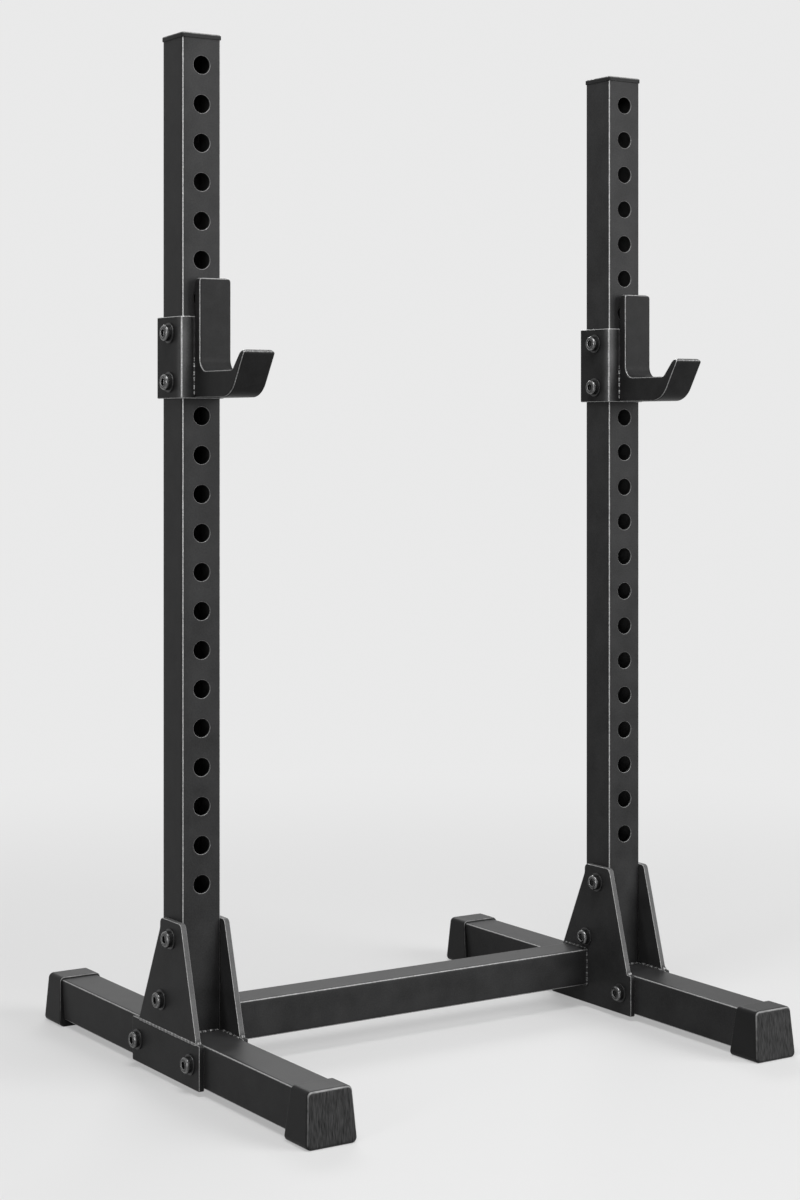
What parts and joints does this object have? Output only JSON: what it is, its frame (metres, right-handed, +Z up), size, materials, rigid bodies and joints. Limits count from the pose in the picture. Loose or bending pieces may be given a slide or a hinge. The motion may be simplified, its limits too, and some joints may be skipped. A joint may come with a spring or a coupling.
{
  "type": "squat stand",
  "caption": "Free-standing squat stand: drilled square uprights on skid bases with rubber boots, joined by a low cross tube, with height-adjustable hooks for a barbell.",
  "frame": {"origin": "on the floor, at the middle of the footprint of the four boots", "axes": "+Z up; X along the cross tube, from the left upright to the right one; the hooks reach towards -Y"},
  "size_m": [1.053, 0.987, 1.816],
  "materials": {
    "frame_coat": "black powder coat, satin, slightly mottled, worn bright along its edges",
    "hook_coat": "black powder coat, satin, smoother than the frame's, worn bright along its edges",
    "weld_bead": "coated weld bead, rippled, rubbed bright on its crests",
    "boot_rubber": "matte black rubber with a fine upright grain",
    "cap_plastic": "matte black moulded plastic",
    "black_screw": "black-oxide steel, semi-gloss",
    "dark_washer": "dark plated steel, semi-gloss",
    "peg_steel": "dark steel, rubbed by the holes"
  },
  "bodies": {
    "frame": {"left_upright": "frame_coat", "left_top_cap": "cap_plastic", "left_base_tube": "frame_coat", "left_rear_boot": "boot_rubber", "left_front_boot": "boot_rubber", "left_outer_gusset_plate": "frame_coat", "left_outer_side_plate": "frame_coat", "left_inner_gusset_plate": "frame_coat", "left_cross_tube_weld": "weld_bead", "left_upper_gusset_bolt": "black_screw", "left_upper_gusset_washer": "dark_washer", "left_upper_gusset_nut": "dark_washer", "left_middle_gusset_bolt": "black_screw", "left_middle_gusset_washer": "dark_washer", "left_middle_gusset_nut": "dark_washer", "left_front_gusset_bolt": "black_screw", "left_front_gusset_washer": "dark_washer", "left_front_gusset_nut": "dark_washer", "left_rear_gusset_bolt": "black_screw", "left_rear_gusset_washer": "dark_washer", "left_rear_gusset_nut": "dark_washer", "right_upright": "frame_coat", "right_top_cap": "cap_plastic", "right_base_tube": "frame_coat", "right_rear_boot": "boot_rubber", "right_front_boot": "boot_rubber", "right_outer_gusset_plate": "frame_coat", "right_outer_side_plate": "frame_coat", "right_inner_gusset_plate": "frame_coat", "right_cross_tube_weld": "weld_bead", "right_upper_gusset_bolt": "black_screw", "right_upper_gusset_washer": "dark_washer", "right_upper_gusset_nut": "dark_washer", "right_middle_gusset_bolt": "black_screw", "right_middle_gusset_washer": "dark_washer", "right_middle_gusset_nut": "dark_washer", "right_front_gusset_bolt": "black_screw", "right_front_gusset_washer": "dark_washer", "right_front_gusset_nut": "dark_washer", "right_rear_gusset_bolt": "black_screw", "right_rear_gusset_washer": "dark_washer", "right_rear_gusset_nut": "dark_washer", "cross_tube": "frame_coat"},
    "left_hook": {"left_hook_bracket": "hook_coat", "left_hook_arm": "hook_coat", "left_hook_peg": "peg_steel", "left_hook_weld": "weld_bead", "left_upper_clamp_screw": "black_screw", "left_upper_clamp_washer": "dark_washer", "left_lower_clamp_screw": "black_screw", "left_lower_clamp_washer": "dark_washer"},
    "right_hook": {"right_hook_bracket": "hook_coat", "right_hook_arm": "hook_coat", "right_hook_peg": "peg_steel", "right_hook_weld": "weld_bead", "right_upper_clamp_screw": "black_screw", "right_upper_clamp_washer": "dark_washer", "right_lower_clamp_screw": "black_screw", "right_lower_clamp_washer": "dark_washer"}
  },
  "joints": [
    {"name": "left_hook_slide", "type": "slide", "parent": "frame", "child": "left_hook", "axis": [0, 0, 1], "range_m": [-0.81, 0.405]},
    {"name": "right_hook_slide", "type": "slide", "parent": "frame", "child": "right_hook", "axis": [0, 0, 1], "range_m": [-0.81, 0.405]}
  ]
}
